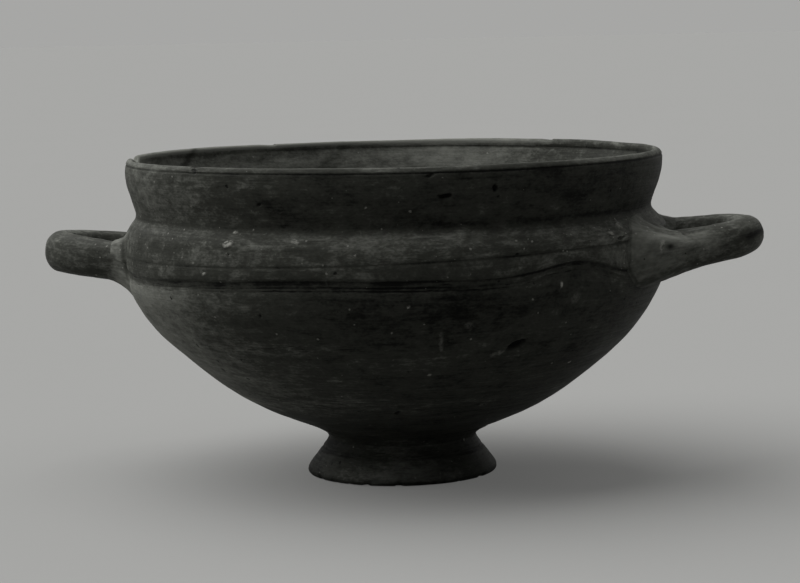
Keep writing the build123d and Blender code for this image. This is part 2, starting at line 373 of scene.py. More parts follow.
def lathe(name, points, steps, ring=False):
    """Lays a circle on half of a section and spins it round the axis."""
    bpy.ops.mesh.primitive_circle_add(vertices=len(points), radius=MM)
    piece = start_piece(name)
    write_points(piece, np.stack([0 * points[:, 0], -points[:, 0], points[:, 1]], 1))
    on_axis = points[:, 0] < 1e-6
    chosen = [bool(on_axis[edge.vertices[0]] and on_axis[edge.vertices[1]]) for edge in piece.data.edges]
    select_only(piece, "edges", chosen)
    if not ring:
        bpy.ops.mesh.delete(type="EDGE")
    bpy.ops.mesh.select_mode(type="VERT")
    bpy.ops.mesh.select_all(action="SELECT")
    bpy.ops.mesh.spin(steps=steps, angle=math.tau, center=(0, 0, 0), axis=(0, 0, 1))
    close_surface()
    return piece


def read(items, field):
    """A vector of every vertex or face."""
    values = np.empty(len(items) * 3, np.float32)
    items.foreach_get(field, values)
    return values.reshape(-1, 3).astype(float)


def read_points(piece):
    """Vertices of a piece, in millimetres."""
    return read(piece.data.vertices, "co") / MM


def write_points(piece, points):
    """Moves the vertices of a piece to these places, in millimetres."""
    piece.data.vertices.foreach_set("co", flat(points * MM))
    piece.data.update()


def paint(piece, grain, **fields):
    """Keeps the fields that the finish reads at every vertex: one number each, or one for the whole piece."""
    piece.data.attributes.new("grain", "FLOAT_VECTOR", "POINT").data.foreach_set("vector", flat(grain))
    for name, values in fields.items():
        values = np.broadcast_to(values, len(grain))
        piece.data.attributes.new(name, "FLOAT", "POINT").data.foreach_set("value", flat(values))


def flat(values):
    """Values as the plain run of numbers that a mesh takes."""
    return np.asarray(values, np.float32).ravel()


def uneven(points, size, seed=0.0):
    """Smooth noise between -1 and 1 with lumps about this many millimetres across."""
    shift = Vector((17.3, 5.1, -9.7)) * seed
    scale = 1 / np.broadcast_to(size, (3,))
    return np.array([noise.noise(Vector(point) + shift) for point in points * scale])


def hump(values, middle, width):
    """1 at the middle, falling softly to 0 on both sides."""
    return np.exp(-(((values - middle) / width) ** 2))


def ramp(values, low, high):
    """0 below low, 1 above high and smooth between them."""
    share = np.clip((values - low) / (high - low), 0, 1)
    return share * share * (3 - 2 * share)


def between(values, start, low, high, end):
    """1 from low to high, falling softly to 0 at start and at end."""
    return ramp(values, start, low) * (1 - ramp(values, high, end))


def on_table(values, table, reach, period=None):
    """Values read off a short table, with its corners rounded over this reach."""
    places, levels = np.array(table).T
    offsets = (-1, -0.5, 0, 0.5, 1)
    return sum(np.interp(values + reach * offset, places, levels, period=period) for offset in offsets) / 5


def leaned(points):
    """The points with the cup's own lean."""
    turn = math.radians(LEAN_TOWARDS)
    shift = on_table(points[:, 2], LEAN, 1.5)
    return points + shift[:, None] * (math.cos(turn), math.sin(turn), 0)


class Section:
    """A section's points with their place along it and the way out of the clay."""

    def __init__(self, points):
        self.points = points
        steps = np.diff(points, axis=0)
        self.along = np.concatenate([[0], np.cumsum(np.hypot(*steps.T))])
        ahead = np.gradient(points, axis=0)
        ahead /= np.hypot(*ahead.T)[:, None]
        self.ahead = ahead
        self.outward = np.stack([ahead[:, 1], -ahead[:, 0]], 1)
        self.tree = KDTree(len(points))
        for index, (radius, height) in enumerate(points):
            self.tree.insert((radius, height, 0), index)
        self.tree.balance()

    def nearest(self, radius, height):
        """Index of the section's nearest point, for each place."""
        return np.array([self.tree.find((r, z, 0))[1] for r, z in zip(radius, height)])


class Turned:
    """The vertices of a turned piece, each with its place on the section and round the axis."""

    def __init__(self, piece, outline):
        self.points = read_points(piece)
        x, y, self.height = self.points.T
        self.radius = np.hypot(x, y)
        self.azimuth = np.degrees(np.arctan2(x, -y))
        index = outline.nearest(self.radius, self.height)
        self.outward = outline.outward[index]
        offset = np.stack([self.radius, self.height], 1) - outline.points[index]
        self.along = outline.along[index] + (offset * outline.ahead[index]).sum(1)
        self.index = index

    def placed(self, push, rise):
        """The vertices pushed out of the clay and raised, in millimetres."""
        radius = self.radius + push * self.outward[:, 0]
        turn = np.radians(self.azimuth)
        height = self.height + push * self.outward[:, 1] + rise
        return np.stack([radius * np.sin(turn), -radius * np.cos(turn), height], 1)

    def grain(self, points):
        """The vertices with their place along the section instead of their height, in millimetres."""
        return np.stack([points[:, 0], points[:, 1], self.along], 1)

    def near(self, azimuth, width):
        """1 at an azimuth, falling softly to 0 on both sides of it."""
        return hump((self.azimuth - azimuth + 180) % 360 - 180, 0, width)

    def rings(self, arc, pitch, seed):
        """Smooth noise in rings round the piece, this many millimetres long and wide."""
        grain = self.grain(self.points)
        grain[:, :2] /= arc
        grain[:, 2] /= pitch
        return uneven(grain, 1.0, seed)


def refine(piece, spots, cuts):
    """Divides the faces of the outside where small marks need them."""
    centres = read(piece.data.polygons, "center") / MM
    outside = (centres[:, :2] * read(piece.data.polygons, "normal")[:, :2]).sum(1) > -2.0
    azimuth = np.degrees(np.arctan2(centres[:, 0], -centres[:, 1]))
    radius = np.hypot(centres[:, 0], centres[:, 1])
    chosen = np.zeros(len(centres), bool)
    for place, level, length, width, *_ in spots:
        away = radius * np.radians(np.abs(azimuth - place))
        chosen |= outside & (away < 0.75 * length + 1.2) & (np.abs(centres[:, 2] - level) < 0.9 * width + 1.2)
    select_only(piece, "polygons", chosen)
    bpy.ops.mesh.subdivide(number_cuts=cuts)
    bpy.ops.object.mode_set(mode="OBJECT")


def finish_piece(piece, nodes, finish):
    """Smooth faces, material and the piece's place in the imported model. It is still the selected piece."""
    bpy.ops.object.shade_smooth()
    piece.data.materials.append(finish)
    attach(piece, BODY)
    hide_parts(*nodes)


# Finishes


class Nodes:
    """Shader nodes of a material or of the room."""

    def __init__(self, owner):
        owner.use_nodes = True
        self.tree = owner.node_tree

    def join(self, value, socket):
        """Links a socket's value, or sets it."""
        if isinstance(value, bpy.types.NodeSocket):
            self.tree.links.new(value, socket)
        else:
            socket.default_value = value

    def add(self, kind, sockets, output=0, **settings):
        """Adds a node and returns one of its outputs. Sockets are given by place or by name."""
        node = self.tree.nodes.new("ShaderNode" + kind)
        for name, value in settings.items():
            setattr(node, name, value)
        for name, value in sockets.items():
            self.join(value, node.inputs[name])
        return node.outputs[output]

    def calc(self, operation, *values, clamp=False):
        """Arithmetic on one to three values."""
        return self.add("Math", dict(enumerate(values)), operation=operation, use_clamp=clamp)

    def weigh(self, start, *pairs, clamp=False):
        """start plus each value times its weight."""
        total = start
        for value, weight in pairs:
            total = self.calc("MULTIPLY_ADD", value, weight, total, clamp=clamp and value is pairs[-1][0])
        return total

    def stretched(self, vector, scale):
        """A vector times three numbers."""
        return self.add("VectorMath", {0: vector, 1: scale}, operation="MULTIPLY")

    def noise(self, vector, scale=1.0, detail=3.0, rough=0.55, twist=0.0):
        """Noise around 0, about -0.5 to 0.5."""
        sockets = {"Vector": vector, "Scale": scale, "Detail": detail, "Roughness": rough, "Distortion": twist}
        return self.calc("SUBTRACT", self.add("TexNoise", sockets), 0.5)

    def step(self, value, low, high):
        """0 below low, 1 above high; the other way round where low is the higher."""
        sockets = {"Value": value, "From Min": low, "From Max": high}
        return self.add("MapRange", sockets, interpolation_type="SMOOTHSTEP")

    def specks(self, vector, cell, size, share):
        """Ragged specks of uneven size, one in this share of the cells of a scatter."""
        ragged = self.add("TexNoise", {"Vector": vector, "Scale": 1.6 / cell, "Detail": 2.0}, "Color")
        moved = self.add("VectorMath", {0: ragged, 1: (0.55 * cell,) * 3, 2: vector}, operation="MULTIPLY_ADD")
        node = self.add("TexVoronoi", {"Vector": moved, "Scale": 1 / cell, "Randomness": 1.0}).node
        chance = self.add("SeparateColor", {0: node.outputs["Color"]}).node
        reach = self.calc("MULTIPLY_ADD", chance.outputs[1], size / cell, 0.2 * size / cell)
        distance = self.calc("DIVIDE", node.outputs["Distance"], reach)
        there = self.calc("LESS_THAN", chance.outputs[0], share)
        return self.calc("MULTIPLY", self.step(distance, 1.0, 0.55), there)

    def blend(self, share, under, over):
        """A colour laid over another."""
        node = self.tree.nodes.new("ShaderNodeMix")
        node.data_type = "RGBA"
        for place, value in ((0, share), (6, under), (7, over)):
            self.join(value, node.inputs[place])
        return node.outputs[2]

    def seen_directly(self):
        """1 for what the camera sees, also in a reflection or through glass, and 0 for light that falls on things."""
        path = self.add("LightPath", {}).node.outputs
        seen = self.calc("MAXIMUM", path["Is Camera Ray"], path["Is Glossy Ray"])
        return self.calc("MAXIMUM", seen, path["Is Transmission Ray"])


class Finish(Nodes):
    """A material whose surface is put together from nodes."""

    def __init__(self, name):
        self.material = bpy.data.materials.new(name)
        super().__init__(self.material)

    def attribute(self, name, output="Fac"):
        """A number or vector that a piece keeps at its vertices."""
        return self.add("Attribute", {}, output, attribute_name=name)

    def set(self, **sockets):
        """Values or links of the surface's own sockets."""
        shader = self.tree.nodes["Principled BSDF"]
        for name, value in sockets.items():
            self.join(value, shader.inputs[name.replace("_", " ")])


def with_alpha(color, factor=1.0):
    """A colour property as a shader colour."""
    return (*(channel * factor for channel in color), 1.0)


def clay_finish(name, tone=0.0, stroke=1.0, rolled=False):
    """Burnished slip with strokes, clouds, rubbed patches, painted light and painted shade, lime grains and pits."""
    colors = bpy.context.scene.cup_finish
    made = Finish(name)
    grain = made.attribute("grain", "Vector")
    worn, sooty, scored, limy, pitted = (
        made.attribute(name) for name in ("worn", "sooty", "scored", "limy", "pitted")
    )

    def field(long, across, detail=3.0, rough=0.55, twist=0.0):
        """Noise with marks of this length round the piece and this width across, in millimetres."""
        scale = (1 / long, 1 / across, 1 / across) if rolled else (1 / long, 1 / long, 1 / across)
        return made.noise(made.stretched(grain, scale), 1.0, detail, rough, twist)

    clouds = field(26, 15, 2, 0.5, 0.6)
    blotches = field(9, 4.6, 4, 0.6, 0.5)
    mottle = field(3.4, 1.7, 4, 0.65, 0.3)
    flecks = field(1.1, 0.7, 2, 0.5)
    strokes = field(22, 0.9, 4, 0.62)
    fine_strokes = field(9, 0.33, 3, 0.6)
    dash_field = field(6.5, 0.62, 3, 0.5)
    place = made.add("TexCoord", {}, "Object")
    grit = made.noise(place, 2600, 3, 0.6)

    smudges = made.step(field(2.6, 2.4, 5, 0.72, 0.4), 0.10, 0.24)
    fine_scores = made.calc("MULTIPLY", fine_strokes, scored)
    dashes = made.calc("MULTIPLY", made.step(dash_field, 0.10, 0.17), scored)
    # Paleness from rubbing and from painted light.
    paleness = made.calc("MULTIPLY", worn, made.weigh(1.0, (blotches, 0.55), (mottle, 0.35)), clamp=True)
    marks = made.weigh(
        0.0, (clouds, 0.50), (blotches, 0.65), (mottle, 0.58), (flecks, 0.34), (strokes, 0.27 * stroke),
        (fine_strokes, 0.12 * stroke),
    )
    marks = made.calc("MULTIPLY", marks, made.weigh(1.0, (worn, -0.85), clamp=True))
    # The dark field pulls the slip towards the darkest colour, for drips and dark marks and for painted shade: under
    # the band, in the tooled lines, on the foot and under the bars.
    shade = made.weigh(
        0.37 + tone, (marks, 1.0), (fine_scores, 0.3), (smudges, 0.17), (paleness, 0.55), (sooty, -0.36), (dashes, -0.32)
    )
    slip = made.blend(
        made.step(shade, 0.0, 0.42), with_alpha(colors.soot_and_shade_color), with_alpha(colors.slip_color)
    )
    slip = made.blend(made.step(shade, 0.38, 1.0), slip, with_alpha(colors.worn_and_lit_color, 1.25))

    flakes = made.specks(place, 0.0011, 0.00045, made.weigh(0.004, (limy, 0.09)))
    grains = made.specks(place, 0.0042, 0.0009, made.weigh(0.004, (limy, 0.03)))
    crust = made.calc("MULTIPLY", made.step(made.noise(place, 420, 5, 0.7), 0.16, 0.36), made.step(limy, 0.6, 1.4))
    lime = made.weigh(0.0, (flakes, 0.30), (grains, 0.55), (crust, 0.5), clamp=True)
    ragged = made.step(made.noise(place, 700, 4, 0.75), -0.17, 0.12)
    dots = made.calc("MULTIPLY", made.specks(place, 0.0032, 0.0006, 0.09), 0.8)
    holes = made.calc("MAXIMUM", dots, pitted, clamp=True)
    stain = made.calc("MULTIPLY", made.calc("MULTIPLY", pitted, -1.0), ragged)
    lime_stain = made.calc("MAXIMUM", lime, stain, clamp=True)
    colour = made.blend(lime_stain, slip, with_alpha(colors.lime_color))
    colour = made.blend(holes, colour, with_alpha(colors.soot_and_shade_color, 0.5))

    rough = made.weigh(0.56, (strokes, -0.3), (blotches, 0.3), (paleness, 0.16), (lime_stain, 0.2))
    relief = made.weigh(
        0.0, (strokes, 0.34 * stroke), (fine_strokes, 0.16 * stroke), (mottle, 0.34), (flecks, 0.2), (grit, 0.10),
        (dashes, -0.55), (lime_stain, 0.55), (holes, -1.0),
    )
    bumps = made.add("Bump", {"Strength": 0.6, "Distance": 0.00045, "Height": relief})
    made.set(Base_Color=colour, Roughness=rough, Normal=bumps, Specular_IOR_Level=0.03)
    return made.material


# Bowl and foot


def spot_fields(at):
    """Depth and darkness that the spots give each vertex of the outside."""
    depth, dark = np.zeros(len(at.points)), np.zeros(len(at.points))
    facing_out = at.outward[:, 0] > -0.3
    for place, level, length, width, slant, deep, shade in SPOTS:
        across = at.radius * np.radians(at.azimuth - place)
        up = (at.height - level) / np.maximum(np.abs(at.outward[:, 0]), 0.35)
        near = facing_out & (np.abs(across) < length + width + 2) & (np.abs(up) < length + width + 2)
        turn = math.radians(slant)
        along = across[near] * math.cos(turn) + up[near] * math.sin(turn)
        beside = up[near] * math.cos(turn) - across[near] * math.sin(turn)
        reach = np.hypot(along / (length / 2), beside / (width / 2))
        reach *= 1 + 0.45 * uneven(at.points[near], 1.3, place)
        mask = 1 - ramp(reach, 0.6, 1.25)
        depth[near] += deep * mask
        strongest = np.abs(shade * mask) > np.abs(dark[near])
        dark[near] = np.where(strongest, shade * mask, dark[near])
    return depth, dark


class Bowl(Turned):
    """The bowl's vertices, with its outside and how strongly each tooled line is cut there."""

    def __init__(self, piece, outline):
        super().__init__(piece, outline)
        height = self.height
        self.outside = self.index <= int(np.argmax(outline.points[:, 1]))
        self.broken = uneven(self.points * (1, 1, 3), 16, 1.0)
        self.shown = 1 - self.near(-84, 15)
        self.strip_lines = self.outside * sum(share * hump(height, *line) for *line, share in TOOLED_LINES)
        self.band_line = self.outside * hump(height, BAND_GROOVE, 0.34) * self.shown
        self.band_line *= np.clip(0.75 + 0.8 * self.broken, 0.1, 1.2)
        self.lip_line = self.outside * hump(height, LIP_GROOVE, 0.30) * (0.95 + 0.3 * self.broken)
        self.under_lip = self.outside * hump(height, LIP_UNDERLINE, 0.26) * self.near(8, 26)
        self.under_lip *= ramp(self.broken, 0.0, 0.3)
        self.inner_line = ~self.outside * hump(height, INNER_LINE, 0.3) * (0.1 + self.near(155, 55))

    def lines_depth(self):
        """How deep the tooled lines are, as a share of the full depth."""
        strip = self.strip_lines * (0.35 + 0.75 * self.near(12, 26) + 0.35 * self.broken)
        return strip + self.band_line + self.lip_line + 0.6 * self.under_lip + 0.8 * self.inner_line

    def unevenness(self, shape):
        """How far throwing, handling and dents left the walls from their section."""
        wall = ramp(self.radius, 3, 12)
        rings = self.rings(60, np.where(self.outside, 3.4, 6.5), 2.0) * np.where(self.outside, 1.0, 2.4)
        push = wall * shape.throwing_rings / MM * rings
        push += wall * shape.wobble / MM * uneven(self.points, 34, 4.0) * ramp(self.height, 15, 30)
        push += 0.09 * self.outside * uneven(self.points, (9, 9, 6), 6.0) * ramp(self.height, 17, 30)
        push += 0.22 * self.outside * uneven(self.points, 12, 9.0) * hump(self.height, 86.5, 2.6)
        for place, level, wide, tall, deep in DENTS:
            push -= deep * self.outside * self.near(place, wide) * hump(self.height, level, tall)
        return push

    def wandering(self):
        """How far the band's lower edge and its groove carry the outside up, round the cup."""
        height = self.height
        foot = on_table(self.azimuth, BAND_FOOT_LINE, 3, period=360) - BAND_FOOT
        groove = GROOVE_LEVEL + GROOVE_TILT * np.sin(np.radians(self.azimuth - GROOVE_TILT_FROM)) - BAND_GROOVE
        share = (height - BAND_FOOT) / (BAND_GROOVE - BAND_FOOT)
        above = np.where(
            height < BAND_GROOVE, foot + (groove - foot) * share, groove * (1 - ramp(height, BAND_GROOVE, 86))
        )
        return self.outside * np.where(height < BAND_FOOT, foot * ramp(height, 61, BAND_FOOT), above)

    def lip_loss(self, shape):
        """How far the lip sank, wore down and chipped."""
        level = self.points * (1, 1, 0)
        dips = 0.3 + 0.45 * uneven(level, 30, 5.0) + 0.10 * uneven(level, 6, 7.0)
        dips *= 1 - self.near(-100, 22)
        loss = ramp(self.height, 100, CREST - 0.5) * shape.lip_wobble / MM * np.clip(dips, 0, 1.4)
        ragged = ramp(self.height, 105.6, CREST) * (1 + 0.25 * uneven(self.points, 2.5, 12.0))
        for steep, shallow, deep in LIP_CHIPS:
            loss += deep * ragged * between((self.azimuth - steep) / (shallow - steep), -0.06, 0.06, 0.0, 1.0)
        return loss

    def worn(self, band, ledge, left):
        """Where the slip is rubbed pale, and where painted light and painted shade make it paler or darker."""
        height, outside = self.height, self.outside
        rim = ramp(height, LIP_GROOVE + 0.1, LIP_GROOVE + 0.6)
        # Outside, the lip's top gets painted shade on the lit left; inside, it gets painted light at the back left.
        rim *= np.where(outside, 0.27 - 0.24 * left + 0.40 * self.near(62, 14), 0.22 + 0.36 * self.near(-140, 50))
        # Painted light and shade on the inner wall: paler at the back and back left, which face away from the key
        # light, darker at the right and back right, which face it.
        sides = 0.30 * self.near(168, 18) + 0.20 * self.near(-125, 45)
        sides -= 0.32 * self.near(108, 42) + 0.24 * self.near(143, 13)
        wiped_and_lit_inside = ~outside * (0.34 + 0.12 * uneven(self.points, (9, 9, 40), 11.0) + sides * ramp(height, 50, 85))
        # The band gets painted light on its far left, and the ledge gets painted shade on the lit left.
        worn = band * (0.14 + 0.22 * self.near(-82, 22)) + ledge * (0.38 - 0.20 * left) + rim + wiped_and_lit_inside
        # The ledge's top by the neck on the left is partly rubbed pale, partly painted light.
        worn += 0.22 * outside * hump(height, 88.2, 1.3) * self.near(-58, 22)
        worn += 0.6 * self.near(-86, 8) * ramp(height, 104.9, 105.9)
        for strength, place, wide, levels in LIT_AND_RUBBED_PATCHES:
            worn += strength * outside * self.near(place, wide) * between(height, *levels)
        return worn

    def sooty(self, strip, left):
        """Where the slip is dark: drips, and painted shade in the tooled lines, under the band, on the upper belly
        under the shoulder, on the right of the belly and low by the stem, and on the neck.
        """
        azimuth, height, outside, broken = self.azimuth, self.height, self.outside, self.broken
        # Painted shadow under the band's overhanging lower edge, a painted shade line along that edge that is darker
        # to the right, and painted shade on the strip below, most in front.
        band_shadow = between(height, 72.6, 73.1, 74.0, 74.5) * between(azimuth, -44, -30, 4, 16)
        edge = outside * hump(height, 74.2, 0.4) * self.shown * (0.8 + 0.9 * broken)
        sooty = strip * (0.04 + 0.22 * self.near(2, 34)) + outside * band_shadow * (0.45 + 0.8 * broken)
        # The tooled lines under the band, on the band, at the lip and inside get painted shade, partly dirt, lighter
        # at the lip on the lit left.
        sooty += 1.1 * self.strip_lines * (0.15 + self.near(-5, 26)) * np.clip(0.8 + 1.6 * broken, 0, 1.4)
        sooty += 0.7 * self.band_line + (1.0 - 0.5 * left) * self.lip_line + 0.8 * self.under_lip
        sooty += self.inner_line * (0.25 + 0.5 * self.near(150, 50)) + 0.8 * edge * (0.4 + ramp(azimuth, 0, 20))

        # Painted shade: the upper belly under the shoulder in front and towards the right, the lower belly on the
        # right and by the stem, and the neck, most on its right and at its foot.
        belly = between(height, 45, 60, 69, 71) * (0.22 * ramp(azimuth, 5, 50) + 0.50 * self.near(0, 26))
        below = 0.10 * ramp(azimuth, 0, 30) * (1 - ramp(height, 45, 60)) + 0.10 * hump(height, 19, 5)
        neck = (0.08 + 0.22 * ramp(azimuth, 15, 60)) * ramp(height, 89, 91)
        neck += 0.35 * hump(height, 90.4, 1.5) * (0.25 + 0.75 * self.near(38, 46))
        dribble = self.near(-15.5 + 0.55 * (94.5 - height), 2.1) * between(height, 89.5, 91, 97.5, 99.5)
        sooty += outside * (belly + below + neck + 0.40 * dribble)
        inside_dribble = self.near(-113.4 + 0.9 * (105 - height), 1.3) * ramp(height, 99, 103)
        return sooty + 0.9 * ~outside * inside_dribble


def shape_bowl(piece, outline, shape):
    """Gives the spun bowl the marks of throwing, tooling and use, and paints its fields."""
    at = Bowl(piece, outline)
    height, outside = at.height, at.outside
    depth, dark = spot_fields(at)
    push = at.unevenness(shape) - shape.groove_depth / MM * at.lines_depth() - depth * outside
    points = np.clip(leaned(at.placed(push, at.wandering() - at.lip_loss(shape))), *CAD_BOX)
    write_points(piece, points)

    left = at.near(-55, 50)
    band = outside * between(height, 73.9, 75.0, 84.5, 86)
    ledge = outside * hump(height, 87.0, 2.0)
    strip = outside * between(height, 70.0, 71.0, 73.8, 74.6)
    scored = 0.12 + 0.9 * hump(height, 31, 5) * at.near(4, 42)
    scored += 0.8 * hump(height, 52.5, 2.6) * at.near(-18, 24) + 0.6 * strip
    limy = 0.08 + 0.8 * ledge * (0.5 + 0.5 * left) + 0.4 * band + 1.3 * at.near(62, 14) * hump(height, 84.5, 4)
    paint(
        piece, at.grain(points), worn=at.worn(band, ledge, left), sooty=at.sooty(strip, left),
        scored=outside * scored, limy=outside * limy, pitted=outside * dark,
    )


class CUP_OT_throw_bowl(bpy.types.Operator):
    """Spins the bowl's section and works it over: wandering grooves, dented walls, pits and a lip that sank, wore
    down and chipped.
    """

    bl_idname = "cup.throw_bowl"
    bl_label = "Throw Bowl"

    def execute(self, context):
        shape = context.scene.cup_shape
        points = softened(section((*BOWL_OUTSIDE, *BOWL_INSIDE)), 2)
        piece = lathe("thrown_bowl", points, shape.spin_steps)
        chips = [((steep + shallow) / 2, CREST - 1, 1.6 * (shallow - steep), 2.0) for steep, shallow, _ in LIP_CHIPS]
        refine(piece, (*SPOTS, *chips), 3)
        shape_bowl(piece, Section(points), shape)
        finish_piece(piece, ["bowl"], clay_finish("burnished_slip"))
        return {"FINISHED"}


def shape_foot(piece, outline, shape):
    """Works over the spun foot: an uneven rolled edge with small chips."""
    at = Turned(piece, outline)
    height = at.height
    outside = at.outward[:, 0] > -0.2
    wall = ramp(at.radius, 3, 10)
    chips = outside * hump(height, 0.7, 1.0) * ramp(at.radius, 28, 30)
    push = 0.16 * uneven(at.points, 15, 21.0) * wall * ramp(height, 0.2, 2)
    push += 0.07 * uneven(at.points, 4.5, 22.0) * outside * hump(height, 3.4, 3.6) * ramp(at.radius, 26, 28)
    push += 0.8 * shape.throwing_rings / MM * at.rings(50, 2.2, 23.0) * wall * (height > 0.3)
    push -= 0.16 * outside * hump(height, FOOT_CREASE, 0.8) * (0.8 + 0.9 * uneven(at.points, 9, 24.0))
    push -= 0.55 * chips * ramp(uneven(at.points, 3.2, 25.0), 0.12, 0.5)
    sway = 0.5 * uneven(at.points * (1, 1, 0), 14, 26.0) * hump(height, 9.0, 2.2) * outside
    points = np.clip(leaned(at.placed(push, sway)), *CAD_BOX)
    write_points(piece, points)

    rim = outside * hump(height, 3.6, 2.4) * ramp(at.radius, 27, 29)
    # Painted shade on the foot: its left, in the bowl's shadow, its right and just under the bowl; and painted shade
    # in the crease.
    painted_foot_shade = 1.2 * at.near(-95, 58) + 0.6 * at.near(80, 44) + 0.2 * hump(height, 11.8, 1.6)
    crease = (0.45 + 0.5 * uneven(at.points, 8, 27.0)) * hump(height, FOOT_CREASE, 1.0)
    paint(
        # The front of the foot is painted paler, as painted light.
        piece, at.grain(points), worn=outside * (0.03 + 0.48 * at.near(12, 42)) + 0.06 * rim + 0.2 * ~outside,
        sooty=outside * (np.maximum(crease, 0) + painted_foot_shade) + 0.5 * chips,
        scored=outside * (0.25 + 0.5 * hump(height, 9.5, 1.5)), limy=0.05 * outside + 0.3 * rim, pitted=0.0,
    )


def shape_foot_lute(piece, outline):
    """Works over the roll of clay between foot and bowl."""
    at = Turned(piece, outline)
    kneaded = uneven(at.points, 9, 31.0)
    points = leaned(at.placed(0.18 * kneaded + 0.07 * uneven(at.points, 3, 32.0), 0))
    write_points(piece, points)
    paint(
        piece, at.grain(points), worn=0.06 + 0.1 * kneaded, sooty=0.20 + 0.3 * at.near(45, 40),
        scored=0.15, limy=0.15, pitted=0.0,
    )


class CUP_OT_throw_foot(bpy.types.Operator):
    """Spins the flaring foot and the roll of soft clay that joins it to the bowl."""

    bl_idname = "cup.throw_foot"
    bl_label = "Throw Foot"

    def execute(self, context):
        finish = clay_finish("foot_slip", tone=0.06)
        points = softened(section(FOOT_SECTION), 2)
        piece = lathe("thrown_foot", points, FOOT_STEPS)
        shape_foot(piece, Section(points), context.scene.cup_shape)
        finish_piece(piece, ["foot"], finish)

        points = softened(section(LUTE_SECTION), 1)[:-1]
        piece = lathe("foot_lute_roll", points, FOOT_STEPS, ring=True)
        shape_foot_lute(piece, Section(points))
        finish_piece(piece, ["foot_lute"], finish)
        return {"FINISHED"}


# Handles and their lutes


class Loop:
    """A handle's middle line: half an ellipse on a rising, slightly tilted plane."""

    def __init__(self, sizes):
        self.sizes = sizes
        side = sizes["side"]
        lift = math.atan2(sizes["rise"], sizes["reach"])
        tilt = math.radians(sizes["tilt"])
        self.outward = np.array([side * math.cos(lift), 0, math.sin(lift)])
        self.across = np.array([0, math.cos(tilt), math.sin(tilt)])
        self.upward = np.cross(self.outward, self.across) * side
        self.start = np.array([side * ROOT_RADIUS, 0, sizes["level"]])
        self.turns = np.linspace(0, math.pi, 721)
        steps = np.diff(self.place(self.turns), axis=0)
        self.along = np.concatenate([[0], np.cumsum(np.linalg.norm(steps, axis=1))])
        self.length = self.along[-1]

    def place(self, turn):
        """Points of the ellipse."""
        reach = self.sizes["reach"] * np.sin(turn)
        beside = -LOOP_HALF_SPACING * np.cos(turn)
        return self.start + np.outer(reach, self.outward) + np.outer(beside, self.across)

    def stations(self, along):
        """Places on the middle line and the way out of the loop there. Below 0 and past the end it runs straight."""
        turn = np.interp(along, self.along, self.turns)
        ahead = np.outer(self.sizes["reach"] * np.cos(turn), self.outward)
        ahead += np.outer(LOOP_HALF_SPACING * np.sin(turn), self.across)
        ahead /= np.linalg.norm(ahead, axis=1)[:, None]
        beyond = np.minimum(along, 0) + np.maximum(along - self.length, 0)
        out = np.cross(ahead, self.upward) * self.sizes["side"]
        return self.place(turn) + ahead * beyond[:, None], out

    def skin(self, along, angle, lift):
        """Points at a height over the bar's skin, which has two ridges and a flat between them on top.

        Angle 0 is up and 90 degrees is out of the loop.
        """
        centre, out = self.stations(along)
        towards_tip = np.sin(math.pi * np.clip(along / self.length, 0, 1))
        (root_height, root_width), (tip_height, tip_width) = self.sizes["root"], self.sizes["tip"]
        high = (root_height + (tip_height - root_height) * towards_tip) / 2
        wide = (root_width + (tip_width - root_width) * towards_tip) / 2
        up, beside, degrees = np.cos(angle), np.sin(angle), np.degrees(angle)
        power = 2.35 - 0.35 * towards_tip
        square = (np.abs(up) ** power + np.abs(beside) ** power) ** (-1 / power)
        ridges = 0.40 * hump(degrees, -38, 15) * (1 - 0.5 * towards_tip)
        ridges += 0.35 * hump(degrees, 48, 14) * (1 - towards_tip) - 0.30 * hump(degrees, 4, 22)
        sag = self.sizes["hang"] * np.maximum(-up, 0) ** 1.5 + self.sizes["crown"] * np.maximum(up, 0) ** 1.5
        over = (ridges * (0.5 + 0.5 * towards_tip) + sag * towards_tip + lift)[:, None]
        shape = (square - 1) * 0.75 + 1
        direction = up[:, None] * self.upward + beside[:, None] * out
        body = (up * high * shape)[:, None] * self.upward + (beside * wide * shape)[:, None] * out
        return centre + body + over * direction

    def unevenness(self, along, angle, wobble):
        """How far rolling and fingers left the bar's skin from its section."""
        seed = self.sizes["seed"]
        smooth = self.skin(along, angle, 0.0)
        finger = np.stack([along / 16, np.cos(angle) * 1.6, np.sin(angle) * 1.6], 1)
        lift = wobble * (uneven(smooth, 11, seed) - 0.35) + 0.10 * uneven(smooth, 4, seed + 1)
        return lift + 0.16 * uneven(finger, 1.0, seed + 2)


